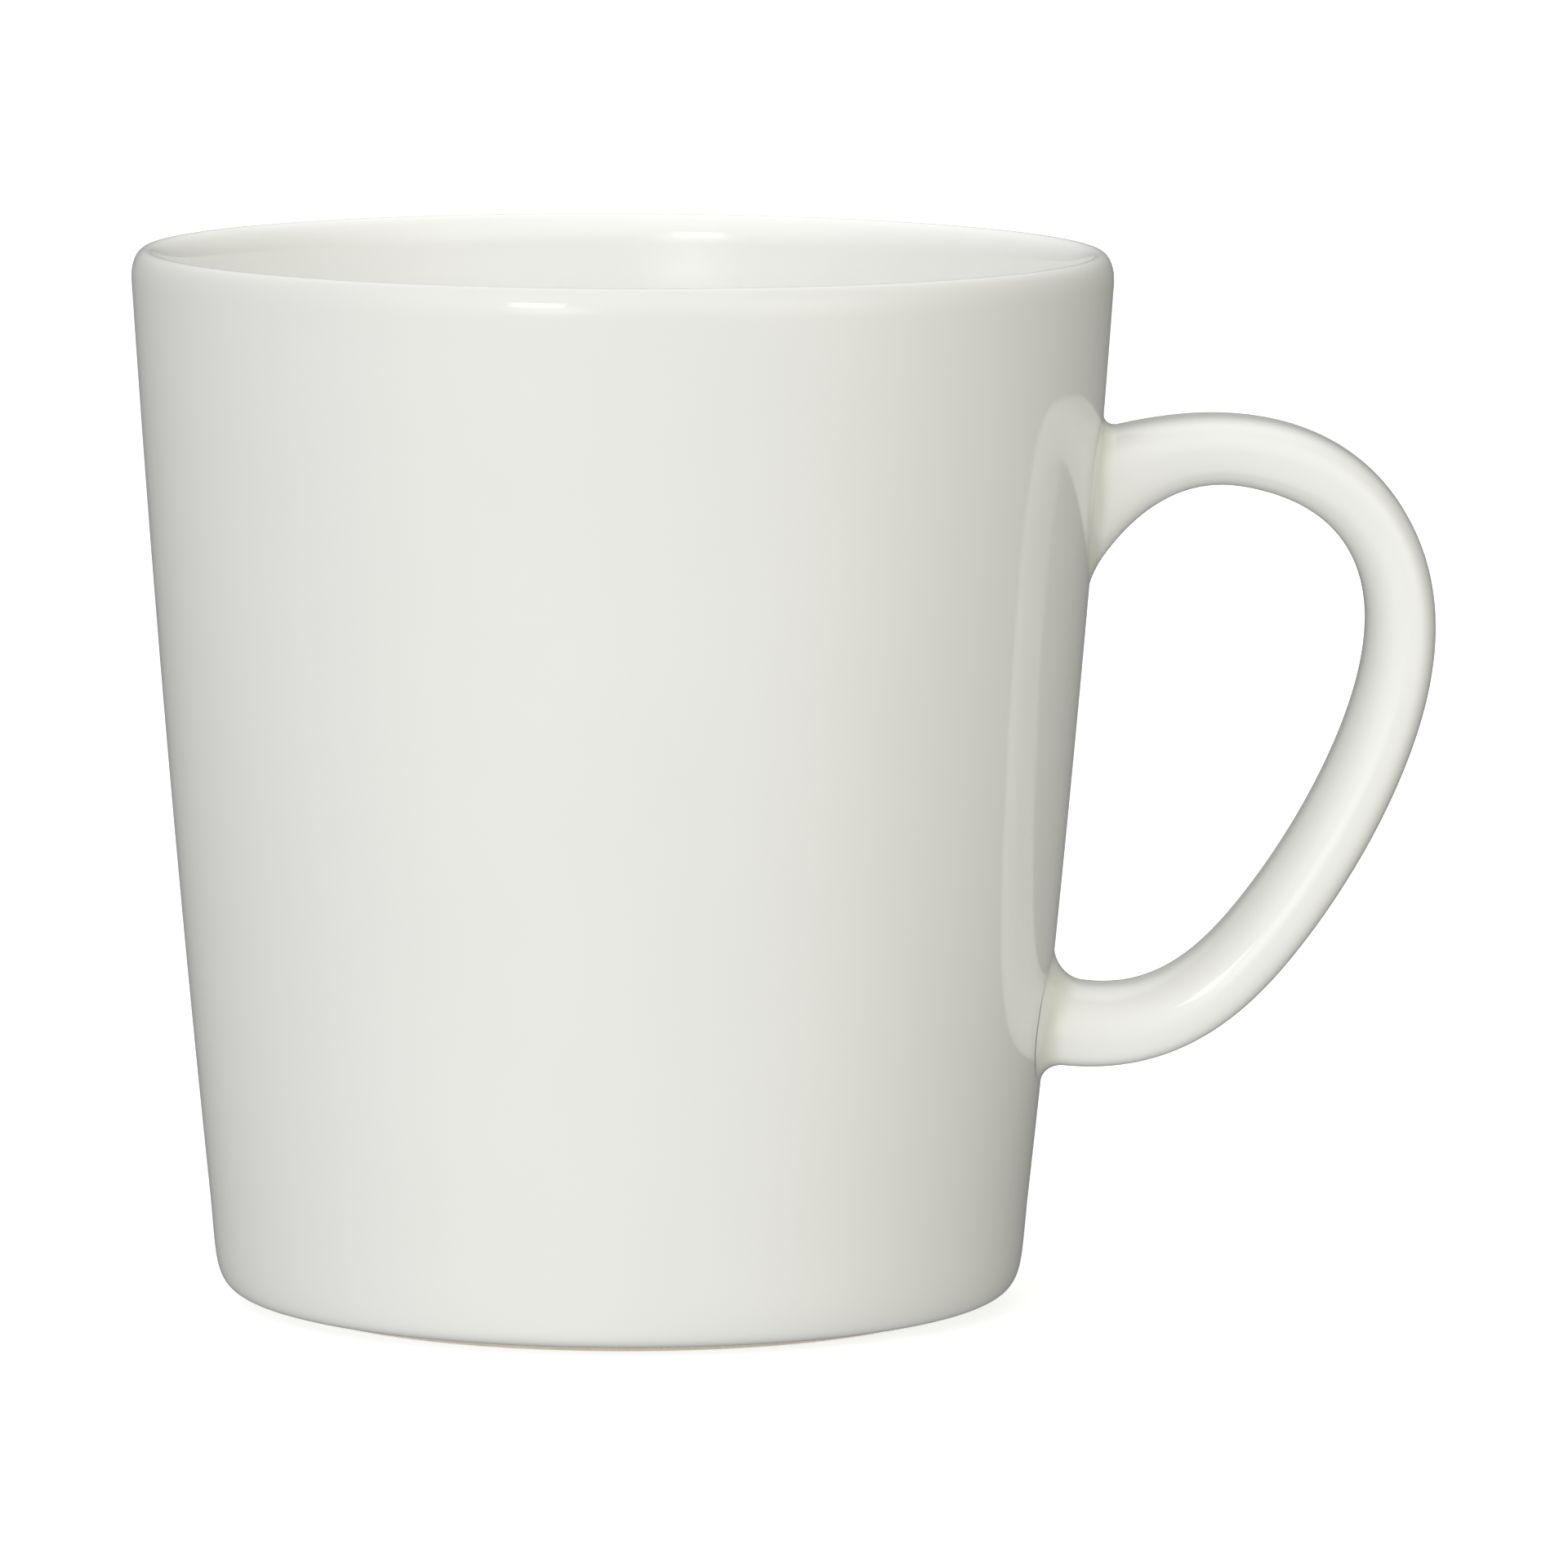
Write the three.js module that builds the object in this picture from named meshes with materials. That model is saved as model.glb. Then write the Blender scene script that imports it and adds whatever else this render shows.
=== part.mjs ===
// Ceramic mug: a tapered cup and a loop handle, formed apart and luted together with clay slip before firing.
// Millimetres, +Z up. The mug stands on z = 0, with the origin under the middle of its bounding box and the
// handle towards +X. Inside the group, the cup's own axis is x = 0, y = 0.
import * as THREE from "three";
import { NURBSCurve } from "three/addons/curves/NURBSCurve.js";

// Cup: the outer wall is a straight taper with a slight bow.
const HEIGHT = 96.9;
const RIM_RADIUS = 45; // the wall's line carried up to the top
const BASE_RADIUS = 36.5; // and down to the table
const WALL_BOW = 0.53; // how far the wall stands out of that line half way up
const WALL_AT_RIM = 2.9;
const WALL_AT_FLOOR = 4.2;
const RIM_DROP = 2.8; // height of the rounding on the rim
const RIM_OUTER = 1.5; // its width outside the crest
const FLOOR = 6; // height of the inside floor over the table
const FLOOR_ROUND = 9; // rounding between the inside wall and the floor
const HEEL = 10.3; // height where the outer wall starts to turn under
const HEEL_PULL = 8; // how strongly the turn keeps the wall's direction
const HEEL_CORNER = [37.7, 0.95]; // what it is pulled towards below, as [radius, height]
const FOOT_OUTER = 30.3; // the foot ring's flat
const FOOT_INNER = 27.3;
const FOOT_BEVEL = 0.4;
const RECESS = 1.8; // depth of the hollow inside the foot ring
const RECESS_RADIUS = 24.5;
const CUP_SIDES = 72;

// Handle: a cubic B-spline in the plane y = 0. Each row is [x, z, half the thickness, half the width], from
// the upper end to the lower end. Both ends reach into the wall, and are trimmed to it.
const HANDLE = [
  [36.4, 70.5, 7.7, 7.4],
  [46.2, 79, 2.8, 7],
  [60.1, 80.1, 3.4, 7],
  [70.7, 72.2, 3, 7],
  [72.6, 57.8, 3.3, 7],
  [61.2, 34.8, 3.4, 7],
  [48.4, 23.3, 3.4, 7],
  [36.5, 27.2, 4, 7.4],
];
const SECTION_POWER = 2.9; // the section is a superellipse: 2 is an ellipse, and more is squarer
// Its widest place lies this far towards the loop's outside, as a share of the half thickness.
const CREST = 0.2;
const HANDLE_SIDES = 28;
const HANDLE_STEPS = 44;

// Slip joints: the layer of slip between each end of the handle and the wall, squeezed out into a fillet all
// round. outside, inside and beside are the fillet's radius on the outside and the inside of the loop and on
// its two sides. The wall cuts the handle's curve between the parameters hidden and clear.
const SLIP_LAYER = 0.8;
const UPPER_JOINT = {
  name: "upper_slip_joint",
  hidden: 0,
  clear: 0.15,
  outside: 1.7,
  inside: 1,
  beside: 1.7,
};
const LOWER_JOINT = {
  name: "lower_slip_joint",
  hidden: 1,
  clear: 0.9,
  outside: 1.9,
  inside: 3,
  beside: 2.4,
};
const SLIP_STEPS = 4;
const GAP = 0.3; // left between pieces that touch

const GLAZED = { color: 0xe8e7e1, roughness: 0.12, metalness: 0 };
const GLAZED_SLIP = { color: 0xdedcd2, roughness: 0.2, metalness: 0 };

const lerp = THREE.MathUtils.lerp;

// 0 to 1 in n equal steps, both ends included.
function steps(n) {
  return Array.from({ length: n + 1 }, (_, i) => i / n);
}

function wallRadius(z) {
  const up = z / HEIGHT;
  return lerp(BASE_RADIUS, RIM_RADIUS, up) + 4 * WALL_BOW * up * (1 - up);
}

function innerRadius(z) {
  return wallRadius(z) - lerp(WALL_AT_FLOOR, WALL_AT_RIM, z / HEIGHT);
}

// The underside, from the axis out to the outer edge of the foot ring's flat.
function undersideOutline() {
  const ringEdge = FOOT_INNER - FOOT_BEVEL;
  const cove = new THREE.CubicBezierCurve(
    new THREE.Vector2(RECESS_RADIUS, RECESS),
    new THREE.Vector2(lerp(RECESS_RADIUS, ringEdge, 0.7), RECESS),
    new THREE.Vector2(ringEdge, RECESS / 2),
    new THREE.Vector2(ringEdge, FOOT_BEVEL),
  );
  return [
    new THREE.Vector2(0, RECESS),
    ...cove.getPoints(4),
    new THREE.Vector2(FOOT_INNER, 0),
    new THREE.Vector2(FOOT_OUTER, 0),
  ];
}

// The outside, from the foot ring's bevel round the heel and up the wall to the rim's crest.
function outsideOutline() {
  const heelRadius = wallRadius(HEEL);
  const slope = heelRadius - wallRadius(HEEL - 1);
  const heel = new THREE.CubicBezierCurve(
    new THREE.Vector2(FOOT_OUTER + FOOT_BEVEL, FOOT_BEVEL),
    new THREE.Vector2(...HEEL_CORNER),
    new THREE.Vector2(heelRadius - slope * HEEL_PULL, HEEL - HEEL_PULL),
    new THREE.Vector2(heelRadius, HEEL),
  );
  const wall = steps(5).map((t) => lerp(HEEL, HEIGHT - RIM_DROP, t)).slice(1, -1);
  const rim = steps(4).map((t) => {
    const turn = (t * Math.PI) / 2;
    const z = HEIGHT - RIM_DROP * (1 - Math.sin(turn));
    return new THREE.Vector2(wallRadius(z) - RIM_OUTER * (1 - Math.cos(turn)), z);
  });
  return [...heel.getPoints(7), ...wall.map((z) => new THREE.Vector2(wallRadius(z), z)), ...rim];
}

// The inside, from just past the rim's crest down the wall and across the floor to the axis.
function insideOutline() {
  const rimFoot = HEIGHT - RIM_DROP;
  const rim = steps(4).slice(1).map((t) => {
    const turn = (t * Math.PI) / 2;
    return new THREE.Vector2(
      lerp(RIM_RADIUS - RIM_OUTER, innerRadius(rimFoot), Math.sin(turn)),
      HEIGHT - RIM_DROP * (1 - Math.cos(turn)),
    );
  });
  const roundTop = FLOOR + FLOOR_ROUND;
  const wall = steps(4).map((t) => lerp(rimFoot, roundTop, t)).slice(1, -1);
  const round = steps(5).map((t) => {
    const turn = (t * Math.PI) / 2;
    return new THREE.Vector2(
      innerRadius(roundTop) - FLOOR_ROUND * (1 - Math.cos(turn)),
      roundTop - FLOOR_ROUND * Math.sin(turn),
    );
  });
  const side = wall.map((z) => new THREE.Vector2(innerRadius(z), z));
  return [...rim, ...side, ...round, new THREE.Vector2(0, FLOOR)];
}

function cup() {
  const outline = [...undersideOutline(), ...outsideOutline(), ...insideOutline()];
  return new THREE.LatheGeometry(outline, CUP_SIDES).rotateX(Math.PI / 2);
}

// The handle's centreline and its half sizes, as B-splines of one parameter.
const knots = [0, 0, 0, 0, ...steps(HANDLE.length - 3).slice(1, -1), 1, 1, 1, 1];
const centreline = new NURBSCurve(3, knots, HANDLE.map(([x, z]) => new THREE.Vector4(x, 0, z, 1)));
const halfSizes = new NURBSCurve(3, knots, HANDLE.map(([, , a, b]) => new THREE.Vector4(a, b, 0, 1)));
const ACROSS = new THREE.Vector3(0, 1, 0);

// The direction from the loop's middle outwards, across the centreline.
function outwardAt(t) {
  return new THREE.Vector3().crossVectors(centreline.getTangent(t), ACROSS);
}

// A point of the handle. share is 0 on the centreline and 1 on the surface, and turn is 0 on the outside of
// the loop and half a circle on its inside.
function handlePoint(t, turn, share) {
  const size = halfSizes.getPoint(t);
  const across = superellipse(Math.cos(turn));
  return centreline
    .getPoint(t)
    .addScaledVector(outwardAt(t), share * size.x * (across + CREST * (1 - across ** 2)))
    .addScaledVector(ACROSS, share * size.y * superellipse(Math.sin(turn)));
}

function superellipse(value) {
  return Math.sign(value) * Math.abs(value) ** (2 / SECTION_POWER);
}

function standOff(point) {
  return Math.hypot(point.x, point.y) - wallRadius(point.z);
}

// The parameter where a line along the handle stands off the wall by height, found by halving.
function parameterAt({ joint, height }, turn, share) {
  let { hidden, clear } = joint;
  for (let i = 0; i < 24; i++) {
    const middle = (hidden + clear) / 2;
    if (standOff(handlePoint(middle, turn, share)) < height) hidden = middle;
    else clear = middle;
  }
  return hidden;
}

// How a point on the handle's side moves along the wall, away from the handle, to make a round fillet.
function filletSpread(point, t, turn, joint) {
  const end = Math.cos(turn) > 0 ? joint.outside : joint.inside;
  const radius = lerp(joint.beside, end, Math.cos(turn) ** 2);
  const down = 1 - THREE.MathUtils.clamp(standOff(point) / radius, 0, 1);
  const taper = (RIM_RADIUS - BASE_RADIUS) / HEIGHT;
  const wallNormal = new THREE.Vector3(point.x, point.y, 0).normalize().setZ(-taper).normalize();
  const away = outwardAt(t).multiplyScalar(Math.cos(turn)).addScaledVector(ACROSS, Math.sin(turn));
  const alongWall = away.projectOnPlane(wallNormal).normalize();
  return alongWall.multiplyScalar(radius * (1 - Math.sqrt(1 - down ** 2)));
}

// The stretch of the handle between two places, each given as a height off the wall at one of the joints. It
// is a lathed drum of [share, part of the way along], bent onto the handle. fillet is the joint whose fillet
// spreads it.
function handleStretch(start, end, lengthSteps, fillet = null) {
  const side = steps(lengthSteps).map((along) => new THREE.Vector2(1, along));
  const startFace = [new THREE.Vector2(0, 0), new THREE.Vector2(0.5, 0)];
  const endFace = [new THREE.Vector2(0.5, 1), new THREE.Vector2(0, 1)];
  const drum = new THREE.LatheGeometry([...startFace, ...side, ...endFace], HANDLE_SIDES);
  const position = drum.getAttribute("position");
  for (let i = 0; i < position.count; i++) {
    const share = Math.hypot(position.getX(i), position.getZ(i));
    const turn = Math.atan2(position.getZ(i), position.getX(i));
    const t = lerp(parameterAt(start, turn, share), parameterAt(end, turn, share), position.getY(i));
    const point = handlePoint(t, turn, share);
    if (fillet) point.addScaledVector(filletSpread(point, t, turn, fillet), share);
    position.setXYZ(i, point.x, point.y, point.z);
  }
  drum.computeVertexNormals();
  return drum;
}

function handle() {
  const height = SLIP_LAYER + 2 * GAP;
  return handleStretch({ joint: UPPER_JOINT, height }, { joint: LOWER_JOINT, height }, HANDLE_STEPS);
}

function slipJoint(joint) {
  const wallFace = { joint, height: GAP };
  const handleFace = { joint, height: GAP + SLIP_LAYER };
  const inOrder = joint.hidden < joint.clear ? [wallFace, handleFace] : [handleFace, wallFace];
  return handleStretch(...inOrder, SLIP_STEPS, joint);
}

function piece(name, geometry, finish) {
  const mesh = new THREE.Mesh(geometry, new THREE.MeshStandardMaterial(finish));
  mesh.name = name;
  return mesh;
}

const mug = new THREE.Group();
mug.add(piece("cup_body", cup(), GLAZED));
mug.add(piece("handle", handle(), GLAZED));
for (const joint of [UPPER_JOINT, LOWER_JOINT]) mug.add(piece(joint.name, slipJoint(joint), GLAZED_SLIP));

// The origin is under the middle of the bounding box.
const box = new THREE.Box3().setFromObject(mug);
mug.position.x = -(box.min.x + box.max.x) / 2;

export default mug;
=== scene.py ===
"""Looks for a glazed ceramic mug: cup, bare foot ring, loop handle and the slip joints that hold it on.

Metres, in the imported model's frame: +Z up, the handle towards +X, the mug standing on z = 0.
"""

import math

import bpy
import numpy as np
from mathutils import Matrix, Vector


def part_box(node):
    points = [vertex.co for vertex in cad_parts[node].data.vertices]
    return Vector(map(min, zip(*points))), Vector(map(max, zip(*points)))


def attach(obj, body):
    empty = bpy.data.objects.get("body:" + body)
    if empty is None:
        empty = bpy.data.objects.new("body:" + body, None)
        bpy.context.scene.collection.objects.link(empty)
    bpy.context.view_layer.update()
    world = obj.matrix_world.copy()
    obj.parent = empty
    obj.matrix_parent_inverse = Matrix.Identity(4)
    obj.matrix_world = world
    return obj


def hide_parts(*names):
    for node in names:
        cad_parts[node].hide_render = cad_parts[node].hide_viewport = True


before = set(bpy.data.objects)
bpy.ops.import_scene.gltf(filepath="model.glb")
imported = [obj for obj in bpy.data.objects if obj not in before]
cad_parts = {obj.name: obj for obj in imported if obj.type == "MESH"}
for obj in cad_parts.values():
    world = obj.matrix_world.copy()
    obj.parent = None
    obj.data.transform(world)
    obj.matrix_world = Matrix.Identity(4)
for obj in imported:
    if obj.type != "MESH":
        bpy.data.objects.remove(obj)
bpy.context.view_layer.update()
CUP_LOW, CUP_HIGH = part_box("cup_body")
AXIS_X = (CUP_LOW[0] + CUP_HIGH[0]) / 2  # the cup's axis
HEIGHT = CUP_HIGH[2]

# Cup. Radii are from the cup's axis, and heights from the table.
RIM_RADIUS = 0.045  # the wall's line carried up to the top
BASE_RADIUS = 0.0365  # and down to the table
WALL_BOW = 0.00053  # how far the wall stands out of that line half way up
WALL_AT_RIM = 0.0029
WALL_AT_FLOOR = 0.0042
RIM_DROP = 0.0028
RIM_OUTER = 0.0015
FLOOR = 0.006
FLOOR_ROUND = 0.009
HEEL = 0.0103
HEEL_PULL = 0.008
HEEL_CORNER = (0.0377, 0.00095)
FOOT_OUTER = 0.0303
FOOT_INNER = 0.0273
RECESS = 0.0018
RECESS_RADIUS = 0.0245
GLAZE_EDGE = 0.0005  # height over the table where the glaze stops
GLAZE_THICK = 0.00016
FOOT_DEPTH = 0.0009  # how far the bare ring reaches up into the cup
CUP_SIDES = 288
GLAZE_REACH = 0.0004  # how far past the foot's edges the glaze stops
SMALL_GAP = 0.00002  # between the bare ring and the cup round it

# Handle: a cubic B-spline in the plane y = 0, as (x from the cup's axis, z, half thickness, half width).
HANDLE = np.array([
    (0.0364, 0.0705, 0.0077, 0.0074),
    (0.0462, 0.0790, 0.0028, 0.0070),
    (0.0601, 0.0801, 0.0034, 0.0070),
    (0.0707, 0.0722, 0.0030, 0.0070),
    (0.0726, 0.0578, 0.0033, 0.0070),
    (0.0612, 0.0348, 0.0034, 0.0070),
    (0.0484, 0.0233, 0.0034, 0.0070),
    (0.0365, 0.0272, 0.0040, 0.0074),
])
SECTION_POWER = 3.0  # the section is a superellipse
CREST = 0.2  # its widest place lies this far towards the loop's outside, as a share of the half thickness
RIDGE = 0.06  # how strongly the section falls away from the crest, on top of the superellipse
RIDGE_ROUND = 0.02
HANDLE_SIDES = 128
HANDLE_STEPS = 200
SECTION_SAMPLES = 4001
HALVINGS = 30

# Slip joints: where the handle is hidden in the wall and where it is clear of it, as spline parameters,
# and the fillet's radius outside, inside and beside the loop.
UPPER_JOINT = {"hidden": 0.0, "clear": 0.15, "outside": 0.0017, "inside": 0.0010, "beside": 0.0017}
LOWER_JOINT = {"hidden": 1.0, "clear": 0.9, "outside": 0.0019, "inside": 0.0030, "beside": 0.0024}
FILLET_STEPS = 20
FILLET_SINK = 0.00003  # the fillet's edge dips this far into the wall
TENON = 0.0004  # how much narrower the handle is inside the fillet
TENON_GAP = 0.0003  # how far short of the wall it ends


# ---- camera --------------------------------------------------------------------------------------

def add_camera():
    """A long lens a little above the rim's height, turned slightly right and rolled a third of a degree."""
    distance, height = 1.3, 0.1999
    pitch, yaw, roll = 0.1164, 0.0115, 0.0055
    forward = Vector((math.sin(yaw) * math.cos(pitch), math.cos(yaw) * math.cos(pitch), -math.sin(pitch)))
    level = Vector((math.cos(yaw), -math.sin(yaw), 0))
    upright = level.cross(forward)
    right = level * math.cos(roll) + upright * math.sin(roll)
    up = upright * math.cos(roll) - level * math.sin(roll)
    data = bpy.data.cameras.new("camera")
    data.sensor_width = 36
    data.lens = 327.9
    data.clip_start, data.clip_end = 0.05, 60
    camera = bpy.data.objects.new("camera", data)
    turn = Matrix((right, up, -forward)).transposed().to_4x4()
    camera.matrix_world = Matrix.Translation((AXIS_X, -distance, height)) @ turn
    bpy.context.scene.collection.objects.link(camera)
    bpy.context.scene.camera = camera


# ---- mesh helpers --------------------------------------------------------------------------------

def add_mesh(name, points, faces, material, sharp_rings=()):
    """A smooth-shaded object. sharp_rings are sets of vertices whose joining edges stay crisp."""
    mesh = bpy.data.meshes.new(name)
    mesh.from_pydata([tuple(p) for p in points], [], faces)
    mesh.polygons.foreach_set("use_smooth", [True] * len(mesh.polygons))
    for ring in sharp_rings:
        for edge in mesh.edges:
            if edge.vertices[0] in ring and edge.vertices[1] in ring:
                edge.use_edge_sharp = True
    mesh.materials.append(material)
    piece = bpy.data.objects.new(name, mesh)
    bpy.context.scene.collection.objects.link(piece)
    return piece


def add_share(piece, name, values):
    """A number from 0 to 1 at each vertex, for the material to read."""
    layer = piece.data.attributes.new(name, "FLOAT", "POINT")
    layer.data.foreach_set("value", values)


def grid_faces(rows, sides):
    """Quads between closed rings of vertices, row after row."""
    faces = []
    for i in range(rows - 1):
        for j in range(sides):
            k = (j + 1) % sides
            faces.append((i * sides + j, i * sides + k, (i + 1) * sides + k, (i + 1) * sides + j))
    return faces


def bezier(p0, p1, p2, p3, count):
    t = np.linspace(0, 1, count + 1)[:, None]
    p0, p1, p2, p3 = (np.array(p) for p in (p0, p1, p2, p3))
    return (1 - t) ** 3 * p0 + 3 * t * (1 - t) ** 2 * p1 + 3 * t * t * (1 - t) * p2 + t ** 3 * p3


# ---- cup -----------------------------------------------------------------------------------------

def wall_radius(z):
    up = z / HEIGHT
    return BASE_RADIUS + (RIM_RADIUS - BASE_RADIUS) * up + 4 * WALL_BOW * up * (1 - up)


def inner_radius(z):
    return wall_radius(z) - WALL_AT_FLOOR - (WALL_AT_RIM - WALL_AT_FLOOR) * z / HEIGHT


def outside_outline():
    """From the glaze's edge at the foot, round the heel and up the wall to the rim's crest."""
    slope = wall_radius(HEEL) - wall_radius(HEEL - 0.001)
    pull = HEEL_PULL / 0.001
    heel = bezier(
        (FOOT_OUTER + GLAZE_REACH, GLAZE_EDGE),
        HEEL_CORNER,
        (wall_radius(HEEL) - slope * pull, HEEL - HEEL_PULL),
        (wall_radius(HEEL), HEEL),
        28,
    )
    z = np.linspace(HEEL, HEIGHT - RIM_DROP, 40)[1:-1]
    turn = np.linspace(0, math.pi / 2, 15)
    rim_z = HEIGHT - RIM_DROP * (1 - np.sin(turn))
    rim = np.column_stack([wall_radius(rim_z) - RIM_OUTER * (1 - np.cos(turn)), rim_z])
    return np.vstack([heel, np.column_stack([wall_radius(z), z]), rim])


def inside_outline():
    """From just past the rim's crest down the inside wall and across the floor to near the axis."""
    foot = HEIGHT - RIM_DROP
    turn = np.linspace(0, math.pi / 2, 15)[1:]
    crest = RIM_RADIUS - RIM_OUTER
    rim = np.column_stack([
        crest + (inner_radius(foot) - crest) * np.sin(turn),
        HEIGHT - RIM_DROP * (1 - np.cos(turn)),
    ])
    top = FLOOR + FLOOR_ROUND
    z = np.linspace(foot, top, 36)[1:-1]
    bend = np.linspace(0, math.pi / 2, 18)
    corner = np.column_stack([
        inner_radius(top) - FLOOR_ROUND * (1 - np.cos(bend)),
        top - FLOOR_ROUND * np.sin(bend),
    ])
    floor = np.column_stack([np.linspace(corner[-1, 0], 0, 10)[1:-1], np.full(8, FLOOR)])
    return np.vstack([rim, np.column_stack([inner_radius(z), z]), corner, floor])


def underside_outline():
    """From near the axis out across the glazed hollow to the glaze's inner edge beside the foot ring."""
    edge = FOOT_INNER - GLAZE_REACH
    cove = bezier(
        (RECESS_RADIUS, RECESS),
        (RECESS_RADIUS + 0.7 * (edge - RECESS_RADIUS), RECESS),
        (edge, RECESS / 2),
        (edge, GLAZE_EDGE),
        12,
    )
    flat = np.column_stack([np.linspace(0, RECESS_RADIUS, 9)[1:-1], np.full(7, RECESS)])
    return np.vstack([flat, cove])


def glaze_lip(radius, towards):
    """The rounded edge where the glaze stops. towards is +1 if the bare clay lies outwards of it."""
    turn = np.linspace(0, math.pi / 2, 6)[1:]
    r = radius + towards * GLAZE_THICK * (1 - np.cos(turn))
    z = GLAZE_EDGE - GLAZE_THICK * np.sin(turn)
    return np.column_stack([r, z])


def add_cup(material):
    """The cup, with a socket in its foot that the bare ring fills."""
    inner_edge, outer_edge = FOOT_INNER - GLAZE_REACH, FOOT_OUTER + GLAZE_REACH
    socket = np.array([
        (inner_edge + GLAZE_THICK, FOOT_DEPTH),
        (outer_edge - GLAZE_THICK, FOOT_DEPTH),
    ])
    outline = np.vstack([
        underside_outline(),
        glaze_lip(inner_edge, 1),
        socket,
        glaze_lip(outer_edge, -1)[::-1],
        outside_outline(),
        inside_outline(),
    ])
    cup = revolve("cup_glazed", outline, material, poles=(RECESS, FLOOR))
    # The inside share marks where the same glaze is painted lighter inside the cup, as painted light.
    inside = np.zeros(len(outline))
    inside[-len(inside_outline()):] = 1
    add_share(cup, "inside", np.append(np.repeat(inside, CUP_SIDES), (0, 1)))
    return cup


def revolve(name, outline, material, poles=None):
    """A closed body of revolution. With poles, its end rings close onto the axis at those heights."""
    angle = np.arange(CUP_SIDES) * 2 * math.pi / CUP_SIDES
    rings = np.zeros((len(outline), CUP_SIDES, 3))
    rings[:, :, 0] = AXIS_X + outline[:, 0, None] * np.cos(angle)
    rings[:, :, 1] = outline[:, 0, None] * np.sin(angle)
    rings[:, :, 2] = outline[:, 1, None]
    points = rings.reshape(-1, 3)
    faces = grid_faces(len(outline), CUP_SIDES)
    last = (len(outline) - 1) * CUP_SIDES
    if poles:
        points = np.vstack([points, (AXIS_X, 0, poles[0]), (AXIS_X, 0, poles[1])])
        for j in range(CUP_SIDES):
            k = (j + 1) % CUP_SIDES
            faces.append((len(points) - 2, k, j))
            faces.append((len(points) - 1, last + j, last + k))
    else:
        for j in range(CUP_SIDES):
            k = (j + 1) % CUP_SIDES
            faces.append((last + j, last + k, k, j))
    return add_mesh(name, points, faces, material)


def add_foot_ring(material):
    """The bare clay that the mug stands on, with its edges worn round."""
    bevel = GLAZE_REACH
    turn = np.linspace(0, math.pi / 2, 7)
    gap = GLAZE_THICK + SMALL_GAP
    inner, outer = FOOT_INNER - bevel + gap, FOOT_OUTER + bevel - gap
    round_inner = np.column_stack([inner + bevel * (1 - np.cos(turn)), bevel * (1 - np.sin(turn))])
    back = turn[::-1]
    round_outer = np.column_stack([outer - bevel * (1 - np.cos(back)), bevel * (1 - np.sin(back))])
    flat = np.column_stack([np.linspace(inner + bevel, outer - bevel, 6)[1:-1], np.zeros(4)])
    top = FOOT_DEPTH - SMALL_GAP
    outline = np.vstack([(inner, top), round_inner, flat, round_outer, (outer, top)])
    return revolve("foot_ring_bare", outline, material)


# ---- handle --------------------------------------------------------------------------------------

def spline(t):
    """The handle's B-spline at parameters t: rows of x, z, half thickness, half width."""
    count = len(HANDLE)
    knots = np.concatenate([np.zeros(3), np.linspace(0, 1, count - 2), np.ones(3)])
    t = np.clip(np.asarray(t, float), 0, 1 - 1e-12)
    basis = [np.where((knots[i] <= t) & (t < knots[i + 1]), 1.0, 0.0) for i in range(len(knots) - 1)]
    for degree in (1, 2, 3):
        basis = [
            ramp(t, knots[i], knots[i + degree]) * basis[i]
            + (1 - ramp(t, knots[i + 1], knots[i + degree + 1])) * basis[i + 1]
            for i in range(len(basis) - 1)
        ]
    return sum(b[..., None] * row for b, row in zip(basis, HANDLE))


def ramp(t, low, high):
    return (t - low) / (high - low) if high > low else np.ones_like(t)


def section(turn):
    """Unit section of the handle: across is along the loop's outward direction, and deep is along y."""
    cos, sin = np.cos(turn), np.sin(turn)
    across = np.sign(cos) * np.abs(cos) ** (2 / SECTION_POWER)
    deep = np.sign(sin) * np.abs(sin) ** (2 / SECTION_POWER)
    across = across + CREST * (1 - across ** 2)
    fall = np.sqrt((across - CREST) ** 2 + RIDGE_ROUND ** 2) - RIDGE_ROUND
    return across, deep * (1 - RIDGE * fall)


def outward(t):
    """Unit vectors across the centreline, away from the loop's middle, as (x, z)."""
    step = 1e-5
    along = spline(np.clip(t + step, 0, 1))[..., :2] - spline(np.clip(t - step, 0, 1))[..., :2]
    along = along / np.linalg.norm(along, axis=-1, keepdims=True)
    return np.stack([-along[..., 1], along[..., 0]], axis=-1)


def handle_points(t, turn, inset=0.0):
    """Points of the handle's surface, from the cup's axis. inset moves them inwards."""
    row = spline(t)
    across, deep = section(turn)
    out = outward(t)
    half_thick, half_wide = row[..., 2] - inset, row[..., 3] - inset
    x = row[..., 0] + out[..., 0] * across * half_thick
    z = row[..., 1] + out[..., 1] * across * half_thick
    return np.stack([x, deep * half_wide, z], axis=-1)


def stand_off(points):
    return np.hypot(points[..., 0], points[..., 1]) - wall_radius(points[..., 2])


def parameter_at(joint, height, turn):
    """Where each line along the handle stands off the wall by height, by halving."""
    hidden = np.full(turn.shape, joint["hidden"])
    clear = np.full(turn.shape, joint["clear"])
    for _ in range(HALVINGS):
        middle = (hidden + clear) / 2
        low = stand_off(handle_points(middle, turn)) < height
        hidden = np.where(low, middle, hidden)
        clear = np.where(low, clear, middle)
    return (hidden + clear) / 2


def fillet_radius(joint, turn):
    """The fillet's radius round the joint: turn 0 is outside the loop, and half a turn is inside it."""
    end = np.where(np.cos(turn) > 0, joint["outside"], joint["inside"])
    return joint["beside"] + (end - joint["beside"]) * np.cos(turn) ** 2


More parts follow.
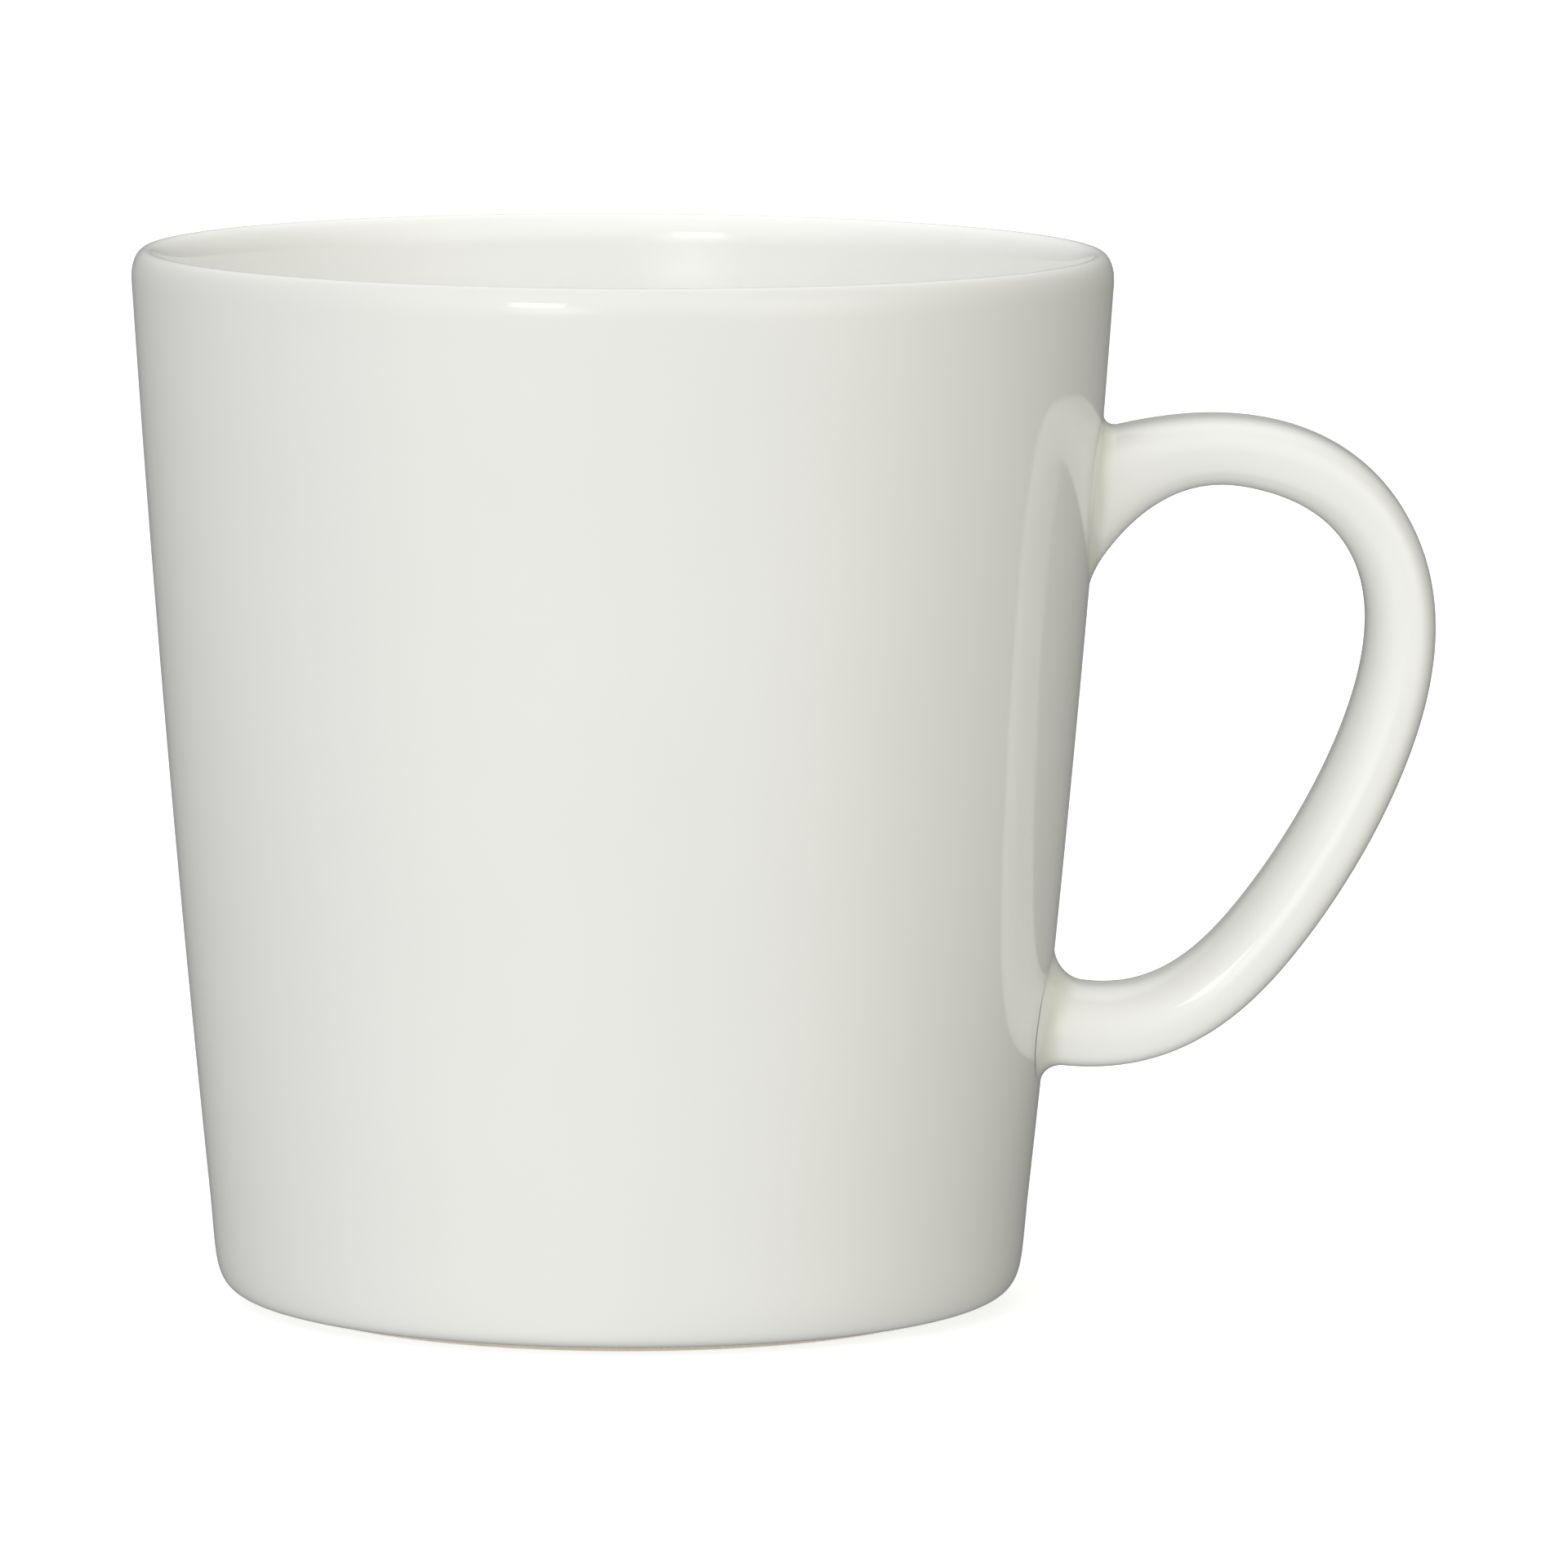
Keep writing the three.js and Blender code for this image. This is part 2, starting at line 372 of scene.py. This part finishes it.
def move_along_wall(points, t, turn, distance):
    """Moves points along the wall, away from the handle, by distance."""
    taper = (RIM_RADIUS - BASE_RADIUS) / HEIGHT
    normal = np.stack([points[..., 0], points[..., 1], np.zeros(points.shape[:-1])], axis=-1)
    normal = normal / np.linalg.norm(normal, axis=-1, keepdims=True)
    normal[..., 2] = -taper
    normal = normal / np.linalg.norm(normal, axis=-1, keepdims=True)
    out = outward(t)
    away = np.stack([out[..., 0] * np.cos(turn), np.sin(turn), out[..., 1] * np.cos(turn)], axis=-1)
    away = away - np.sum(away * normal, axis=-1, keepdims=True) * normal
    away = away / np.linalg.norm(away, axis=-1, keepdims=True)
    return points + away * distance[..., None]


def section_turns():
    """Turns that step evenly round the middle of the handle's section, so that faces look outwards."""
    turn = np.linspace(2 * math.pi, 0, SECTION_SAMPLES)
    across, deep = section(turn)
    half_thick, half_wide = spline(0.5)[2:]
    steps = np.hypot(np.diff(across) * half_thick, np.diff(deep) * half_wide)
    length = np.concatenate([[0], np.cumsum(steps)])
    return np.interp(np.arange(HANDLE_SIDES) * length[-1] / HANDLE_SIDES, length, turn)


def close_ends(points, faces, rows):
    """Caps a tube of rings with a fan at each end."""
    last = (rows - 1) * HANDLE_SIDES
    points = np.vstack([points, points[:HANDLE_SIDES].mean(0), points[last:last + HANDLE_SIDES].mean(0)])
    for j in range(HANDLE_SIDES):
        k = (j + 1) % HANDLE_SIDES
        faces.append((len(points) - 2, k, j))
        faces.append((len(points) - 1, last + j, last + k))
    return points, faces


def add_handle(material):
    """The loop between its two fillets, with a narrower tenon at each end that runs on towards the wall."""
    turn = section_turns()
    start = parameter_at(UPPER_JOINT, fillet_radius(UPPER_JOINT, turn), turn)
    end = parameter_at(LOWER_JOINT, fillet_radius(LOWER_JOINT, turn), turn)
    upper_root = parameter_at(UPPER_JOINT, TENON_GAP, turn)
    lower_root = parameter_at(LOWER_JOINT, TENON_GAP, turn)
    rows = [handle_points(upper_root, turn, TENON), handle_points(start, turn, TENON)]
    for share in np.linspace(0, 1, HANDLE_STEPS + 1):
        rows.append(handle_points(start + (end - start) * share, turn))
    rows += [handle_points(end, turn, TENON), handle_points(lower_root, turn, TENON)]
    points = np.vstack(rows)
    points[:, 0] += AXIS_X
    points, faces = close_ends(points, grid_faces(len(rows), HANDLE_SIDES), len(rows))
    first, last = 2 * HANDLE_SIDES, (len(rows) - 3) * HANDLE_SIDES
    rings = [set(range(first, first + HANDLE_SIDES)), set(range(last, last + HANDLE_SIDES))]
    return add_mesh("handle_glazed", points, faces, material, rings)


def add_slip_joint(name, joint, material):
    """The slip squeezed out round one end of the handle: a collar that curves from handle to wall."""
    turn = section_turns()
    radius = fillet_radius(joint, turn)
    rows = []
    shares = np.linspace(0, 1, FILLET_STEPS + 1)
    for share in shares:
        height = radius * (1 - math.sin(share * math.pi / 2)) - FILLET_SINK * share
        t = parameter_at(joint, height, turn)
        distance = radius * (1 - math.cos(share * math.pi / 2))
        rows.append(move_along_wall(handle_points(t, turn), t, turn, distance))
    bottom = parameter_at(joint, -FILLET_SINK, turn)
    top = parameter_at(joint, radius, turn)
    rows.append(handle_points(bottom, turn, TENON))
    rows.append(handle_points(top, turn, TENON))
    points = np.vstack(rows)
    points[:, 0] += AXIS_X
    faces = grid_faces(len(rows), HANDLE_SIDES)
    last = (len(rows) - 1) * HANDLE_SIDES
    for j in range(HANDLE_SIDES):
        k = (j + 1) % HANDLE_SIDES
        faces.append((last + j, last + k, k, j))
    if joint["hidden"] < joint["clear"]:
        faces = [face[::-1] for face in faces]
    edge = FILLET_STEPS * HANDLE_SIDES
    rings = [set(range(HANDLE_SIDES)), set(range(edge, edge + HANDLE_SIDES))]
    piece = add_mesh(name, points, faces, material, rings)
    towards_wall = np.append(shares, (1, 0))
    add_share(piece, "wall", np.repeat(towards_wall, HANDLE_SIDES))
    add_share(piece, "pool", np.repeat(np.sin(towards_wall * math.pi) ** 2, HANDLE_SIDES))
    return piece


# ---- materials -----------------------------------------------------------------------------------

def new_material(name):
    material = bpy.data.materials.new(name)
    material.use_nodes = True
    nodes = material.node_tree.nodes
    return material, nodes, material.node_tree.links, nodes["Principled BSDF"]


def noise(nodes, links, scale, detail, roughness=0.5):
    """A noise texture in the object's own metres."""
    place = nodes.new("ShaderNodeTexCoord")
    texture = nodes.new("ShaderNodeTexNoise")
    texture.inputs["Scale"].default_value = scale
    texture.inputs["Detail"].default_value = detail
    texture.inputs["Roughness"].default_value = roughness
    links.new(place.outputs["Object"], texture.inputs["Vector"])
    return texture.outputs["Fac"]


def map_noise(nodes, links, value, low, high):
    """Stretches a noise value to the range low to high."""
    span = nodes.new("ShaderNodeMapRange")
    span.inputs["From Min"].default_value = 0.3
    span.inputs["From Max"].default_value = 0.7
    span.inputs["To Min"].default_value = low
    span.inputs["To Max"].default_value = high
    links.new(value, span.inputs["Value"])
    return span.outputs["Result"]


def mix_colours(nodes, links, share, first, second):
    mix = nodes.new("ShaderNodeMix")
    mix.data_type = "RGBA"
    links.new(share, mix.inputs["Factor"])
    for socket, colour in ((mix.inputs["A"], first), (mix.inputs["B"], second)):
        if isinstance(colour, tuple):
            socket.default_value = (*colour, 1)
        else:
            links.new(colour, socket)
    return mix.outputs["Result"]


def scale_colour(nodes, links, colour, share):
    scale = nodes.new("ShaderNodeVectorMath")
    scale.operation = "SCALE"
    if isinstance(colour, tuple):
        scale.inputs[0].default_value = colour
    else:
        links.new(colour, scale.inputs[0])
    links.new(share, scale.inputs["Scale"])
    return scale.outputs["Vector"]


def bump(nodes, links, height, distance, below=None):
    node = nodes.new("ShaderNodeBump")
    node.inputs["Strength"].default_value = 1
    node.inputs["Distance"].default_value = distance
    links.new(height, node.inputs["Height"])
    if below:
        links.new(below, node.inputs["Normal"])
    return node.outputs["Normal"]


# Colours are linear, and heights in metres.
GLAZE_OUTSIDE = (0.80, 0.80, 0.768)
# Painted light: the same glaze, made lighter on the handle and its fillets to brighten them as the light
# falling there would.
GLAZE_HANDLE_PAINTED_LIGHT = (0.845, 0.845, 0.812)
# Painted light: the same glaze, made lighter inside the cup to brighten it as the light falling there
# would.
GLAZE_INSIDE_PAINTED_LIGHT = (0.935, 0.935, 0.91)
GLAZE_POOL = (0.73, 0.725, 0.65)  # where it runs together in the fillets
GLAZE_CLOUD = 0.985  # how dark the cloudiness gets, as a share of the colour
GLAZE_ROUGHNESS = (0.06, 0.10)
GLAZE_SWELL = 0.00006  # height of its slow unevenness
GLAZE_RIPPLE = 0.000002  # and of its fine ripple
CLAY_DARK = (0.60, 0.53, 0.43)
CLAY_PALE = (0.72, 0.66, 0.56)
CLAY_GRAIN = 0.00004
FLOOR_COLOURS = (0.93, 0.93, 0.93), (0.945, 0.945, 0.945)
FLOOR_GLOW = 0.42


def glaze_material(name, colour, others):
    """Off-white gloss glaze, slightly uneven. others maps a mesh attribute to the colour it leads to."""
    material, nodes, links, shader = new_material(name)
    for attribute, other in others.items():
        share = nodes.new("ShaderNodeAttribute")
        share.attribute_name = attribute
        colour = mix_colours(nodes, links, share.outputs["Fac"], colour, other)
    cloud = map_noise(nodes, links, noise(nodes, links, 60, 3), GLAZE_CLOUD, 1)
    colour = scale_colour(nodes, links, colour, cloud)
    links.new(colour, shader.inputs["Base Color"])
    roughness = map_noise(nodes, links, noise(nodes, links, 90, 2), *GLAZE_ROUGHNESS)
    links.new(roughness, shader.inputs["Roughness"])
    swell = bump(nodes, links, noise(nodes, links, 55, 1), GLAZE_SWELL)
    ripple = bump(nodes, links, noise(nodes, links, 600, 2), GLAZE_RIPPLE, swell)
    links.new(ripple, shader.inputs["Normal"])
    shader.inputs["IOR"].default_value = 1.5
    return material


def biscuit_material():
    """Bare fired clay, warm and fine-grained."""
    material, nodes, links, shader = new_material("bare_clay")
    grain = map_noise(nodes, links, noise(nodes, links, 3000, 4, 0.7), 0, 1)
    colour = mix_colours(nodes, links, grain, CLAY_DARK, CLAY_PALE)
    links.new(colour, shader.inputs["Base Color"])
    shader.inputs["Roughness"].default_value = 0.85
    links.new(bump(nodes, links, noise(nodes, links, 4000, 4, 0.7), CLAY_GRAIN), shader.inputs["Normal"])
    return material


def floor_material():
    """Matt white paper, evenly lit."""
    material, nodes, links, shader = new_material("floor")
    cloud = map_noise(nodes, links, noise(nodes, links, 3, 2), 0, 1)
    colour = mix_colours(nodes, links, cloud, *FLOOR_COLOURS)
    links.new(colour, shader.inputs["Base Color"])
    shader.inputs["Roughness"].default_value = 0.9
    shader.inputs["Specular IOR Level"].default_value = 0
    shader.inputs["Emission Color"].default_value = (1, 1, 1, 1)
    shader.inputs["Emission Strength"].default_value = FLOOR_GLOW
    return material


# ---- studio --------------------------------------------------------------------------------------

def add_floor():
    """A plain pale disc. The glaze reflects the room instead of it, so it is only a backdrop."""
    mesh = bpy.data.meshes.new("floor")
    count, radius = 128, 12
    angle = np.arange(count) * 2 * math.pi / count
    points = [(radius * math.cos(a), radius * math.sin(a), 0) for a in angle]
    mesh.from_pydata(points, [], [tuple(range(count))])
    mesh.materials.append(floor_material())
    floor = bpy.data.objects.new("floor", mesh)
    bpy.context.scene.collection.objects.link(floor)
    floor.visible_glossy = False
    floor.visible_diffuse = False
    floor.visible_shadow = False


def add_light(name, azimuth, elevation, distance, width, height, power):
    """A rectangular soft light aimed at the mug. Azimuth 0 is in front, and grows to the right."""
    data = bpy.data.lights.new(name, "AREA")
    data.shape = "RECTANGLE"
    data.size, data.size_y = width, height
    data.energy = power
    light = bpy.data.objects.new(name, data)
    a, e = math.radians(azimuth), math.radians(elevation)
    target = Vector((AXIS_X, 0, HEIGHT / 2))
    back = Vector((math.sin(a) * math.cos(e), -math.cos(a) * math.cos(e), math.sin(e)))
    light.location = target + back * distance
    light.rotation_mode = "QUATERNION"
    light.rotation_quaternion = back.to_track_quat("Z", "Y")
    bpy.context.scene.collection.objects.link(light)


def maths(nodes, links, operation, first, second=None):
    """A Math node whose inputs are numbers or other nodes' outputs."""
    node = nodes.new("ShaderNodeMath")
    node.operation = operation
    for socket, value in zip(node.inputs, (first, second)):
        if isinstance(value, (int, float)):
            socket.default_value = value
        elif value is not None:
            links.new(value, socket)
    return node.outputs["Value"]


def add_glow(nodes, links, direction, glow, below):
    """Adds a soft patch of light to below: strength x exp(sharpness x (cos(angle from its middle) - 1))."""
    azimuth, elevation, sharpness, strength = glow
    a, e = math.radians(azimuth), math.radians(elevation)
    dot = nodes.new("ShaderNodeVectorMath")
    dot.operation = "DOT_PRODUCT"
    links.new(direction, dot.inputs[0])
    dot.inputs[1].default_value = (math.sin(a) * math.cos(e), -math.cos(a) * math.cos(e), math.sin(e))
    below_one = maths(nodes, links, "SUBTRACT", dot.outputs["Value"], 1.0)
    fall = maths(nodes, links, "MULTIPLY", below_one, sharpness)
    patch = maths(nodes, links, "MULTIPLY", maths(nodes, links, "EXPONENT", fall), strength)
    return maths(nodes, links, "ADD", patch, below)


# The room's light, as soft patches: azimuth (0 in front, + to the right), elevation, sharpness, strength.
GLOWS = (
    (-10, 43, 4.5, 1.06),
    (-17, 9, 80, 2.4),
    (-42, 16, 8, 0.62),
    (43, 14, 8, 1.47),
    (-25, -45, 4.4, 0.5),
    (-30, -80, 4.4, 1.15),
    (-102, 13, 1.1, 0.25),
    (180, 59, 4.5, 1.35),
)
BACKDROP = 1.0  # how bright the room is to the camera
NEUTRAL_LIGHT = (1, 1, 1)
RIGHT_LIGHT = (1, 0.99, 0.76)  # what comes from the far right is a little warmer
RIGHT_EDGE = 3  # how sharply that sets in


def add_world():
    """The room's light for the mug and the floor, and a plain white backdrop for the camera."""
    world = bpy.data.worlds.new("studio")
    world.use_nodes = True
    bpy.context.scene.world = world
    nodes, links = world.node_tree.nodes, world.node_tree.links
    direction = nodes.new("ShaderNodeTexCoord").outputs["Generated"]
    level = 0.0
    for glow in GLOWS:
        level = add_glow(nodes, links, direction, glow, level)
    camera_ray = nodes.new("ShaderNodeLightPath").outputs["Is Camera Ray"]
    seen = nodes.new("ShaderNodeMix")
    links.new(camera_ray, seen.inputs["Factor"])
    links.new(level, seen.inputs["A"])
    seen.inputs["B"].default_value = BACKDROP
    links.new(seen.outputs["Result"], nodes["Background"].inputs["Strength"])
    sides = nodes.new("ShaderNodeSeparateXYZ")
    links.new(direction, sides.inputs["Vector"])
    right_half = maths(nodes, links, "MAXIMUM", sides.outputs["X"], 0.0)
    rightness = maths(nodes, links, "POWER", right_half, RIGHT_EDGE)
    colour = mix_colours(nodes, links, rightness, NEUTRAL_LIGHT, RIGHT_LIGHT)
    colour = mix_colours(nodes, links, camera_ray, colour, NEUTRAL_LIGHT)
    links.new(colour, nodes["Background"].inputs["Color"])


def add_studio():
    add_floor()
    add_world()
    add_light("key", azimuth=-20, elevation=22, distance=1.4, width=0.3, height=0.3, power=1.0)
    bpy.context.scene.view_settings.view_transform = "Standard"


# ---- assembly ------------------------------------------------------------------------------------

def dress(piece, nodes):
    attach(piece, "root")
    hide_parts(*nodes)


def add_mug():
    # The body's glaze is painted lighter inside the cup, as painted light.
    body_glaze_painted_light_inside = glaze_material("glaze", GLAZE_OUTSIDE, {"inside": GLAZE_INSIDE_PAINTED_LIGHT})
    # The handle's glaze is painted lighter than the body's, as painted light.
    handle_glaze_painted_light = glaze_material("glaze_handle_painted_light", GLAZE_HANDLE_PAINTED_LIGHT, {})
    # Over the slip, the handle's lighter painted-light colour fades into the body's colour towards the
    # wall.
    over_slip = glaze_material("glaze_over_slip", GLAZE_HANDLE_PAINTED_LIGHT, {"wall": GLAZE_OUTSIDE, "pool": GLAZE_POOL})
    dress(add_cup(body_glaze_painted_light_inside), ["cup_body"])
    dress(add_foot_ring(biscuit_material()), ["cup_body"])
    dress(add_handle(handle_glaze_painted_light), ["handle"])
    dress(add_slip_joint("upper_fillet", UPPER_JOINT, over_slip), ["upper_slip_joint"])
    dress(add_slip_joint("lower_fillet", LOWER_JOINT, over_slip), ["lower_slip_joint"])


add_camera()
add_mug()
add_studio()
